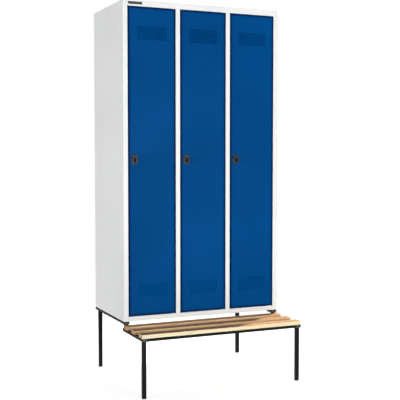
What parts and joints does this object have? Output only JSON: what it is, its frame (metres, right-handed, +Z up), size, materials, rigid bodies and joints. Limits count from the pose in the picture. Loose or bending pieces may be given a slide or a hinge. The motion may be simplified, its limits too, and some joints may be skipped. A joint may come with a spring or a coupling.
{
  "type": "bench locker unit",
  "caption": "Steel cloakroom locker with louvred hinged doors, padlock turn latches, hat shelves and sliding coat hooks, on a tube frame with a slatted wooden bench in front.",
  "frame": {"origin": "On the floor, below the middle of the whole unit's bounding box (cabinet and bench together).", "axes": "+X to the user's right as they face the doors, +Y towards the back of the cabinet, +Z up."},
  "size_m": [0.9, 0.77, 2],
  "materials": {
    "carcass": "light grey powder coat, satin",
    "door": "gentian blue powder coat, satin",
    "frame": "black powder coat, fine texture",
    "slat": "beech, clear lacquer",
    "plug": "black polyethylene",
    "bush": "white nylon",
    "buffer": "dark grey rubber",
    "zinc": "bright zinc plating",
    "lock": "satin grey zinc die casting",
    "hook": "black nylon"
  },
  "bodies": {
    "cabinet": {"left_side_panel": "carcass", "right_side_panel": "carcass", "left_partition": "carcass", "right_partition": "carcass", "roof_panel": "carcass", "floor_panel": "carcass", "back_panel": "carcass", "hinge_bushes": "bush", "door_buffers": "buffer", "left_upper_rail": "frame", "right_upper_rail": "frame", "left_riser": "frame", "right_riser": "frame", "left_lower_rail": "frame", "right_lower_rail": "frame", "left_front_leg": "frame", "right_front_leg": "frame", "left_rear_leg": "frame", "right_rear_leg": "frame", "front_rail": "frame", "rear_rail": "frame", "rail_plugs": "plug", "foot_plugs": "plug", "front_bench_slat": "slat", "middle_bench_slat": "slat", "rear_bench_slat": "slat", "left_hat_shelf": "carcass", "middle_hat_shelf": "carcass", "right_hat_shelf": "carcass", "left_coat_rail": "zinc", "middle_coat_rail": "zinc", "right_coat_rail": "zinc"},
    "left_door": {"left_door_panel": "door", "left_door_rib": "door", "left_hinge_pins": "zinc", "left_lock_plate": "lock"},
    "left_latch": {"left_latch_knob": "lock", "left_latch_cam": "zinc"},
    "left_hook_1": {"left_coat_hook_1": "hook"},
    "left_hook_2": {"left_coat_hook_2": "hook"},
    "middle_door": {"middle_door_panel": "door", "middle_door_rib": "door", "middle_hinge_pins": "zinc", "middle_lock_plate": "lock"},
    "middle_latch": {"middle_latch_knob": "lock", "middle_latch_cam": "zinc"},
    "middle_hook_1": {"middle_coat_hook_1": "hook"},
    "middle_hook_2": {"middle_coat_hook_2": "hook"},
    "right_door": {"right_door_panel": "door", "right_door_rib": "door", "right_hinge_pins": "zinc", "right_lock_plate": "lock"},
    "right_latch": {"right_latch_knob": "lock", "right_latch_cam": "zinc"},
    "right_hook_1": {"right_coat_hook_1": "hook"},
    "right_hook_2": {"right_coat_hook_2": "hook"}
  },
  "joints": [
    {"name": "left_door_hinge", "type": "hinge", "parent": "cabinet", "child": "left_door", "pos_m": [-0.17533, -0.1085, 1.17], "axis": [0, 0, 1], "range_deg": [0, 110]},
    {"name": "left_latch_turn", "type": "hinge", "parent": "left_door", "child": "left_latch", "pos_m": [-0.387, -0.115, 1.188], "axis": [0, 1, 0], "range_deg": [0, 90]},
    {"name": "left_hook_1_slide", "type": "slide", "parent": "cabinet", "child": "left_hook_1", "axis": [1, 0, 0], "range_m": [-0.05, 0.05]},
    {"name": "left_hook_2_slide", "type": "slide", "parent": "cabinet", "child": "left_hook_2", "axis": [1, 0, 0], "range_m": [-0.05, 0.05]},
    {"name": "middle_door_hinge", "type": "hinge", "parent": "cabinet", "child": "middle_door", "pos_m": [0.11633, -0.1085, 1.17], "axis": [0, 0, 1], "range_deg": [0, 110]},
    {"name": "middle_latch_turn", "type": "hinge", "parent": "middle_door", "child": "middle_latch", "pos_m": [-0.09533, -0.115, 1.188], "axis": [0, 1, 0], "range_deg": [0, 90]},
    {"name": "middle_hook_1_slide", "type": "slide", "parent": "cabinet", "child": "middle_hook_1", "axis": [1, 0, 0], "range_m": [-0.05, 0.05]},
    {"name": "middle_hook_2_slide", "type": "slide", "parent": "cabinet", "child": "middle_hook_2", "axis": [1, 0, 0], "range_m": [-0.05, 0.05]},
    {"name": "right_door_hinge", "type": "hinge", "parent": "cabinet", "child": "right_door", "pos_m": [0.408, -0.1085, 1.17], "axis": [0, 0, 1], "range_deg": [0, 110]},
    {"name": "right_latch_turn", "type": "hinge", "parent": "right_door", "child": "right_latch", "pos_m": [0.19633, -0.115, 1.188], "axis": [0, 1, 0], "range_deg": [0, 90]},
    {"name": "right_hook_1_slide", "type": "slide", "parent": "cabinet", "child": "right_hook_1", "axis": [1, 0, 0], "range_m": [-0.05, 0.05]},
    {"name": "right_hook_2_slide", "type": "slide", "parent": "cabinet", "child": "right_hook_2", "axis": [1, 0, 0], "range_m": [-0.05, 0.05]}
  ]
}
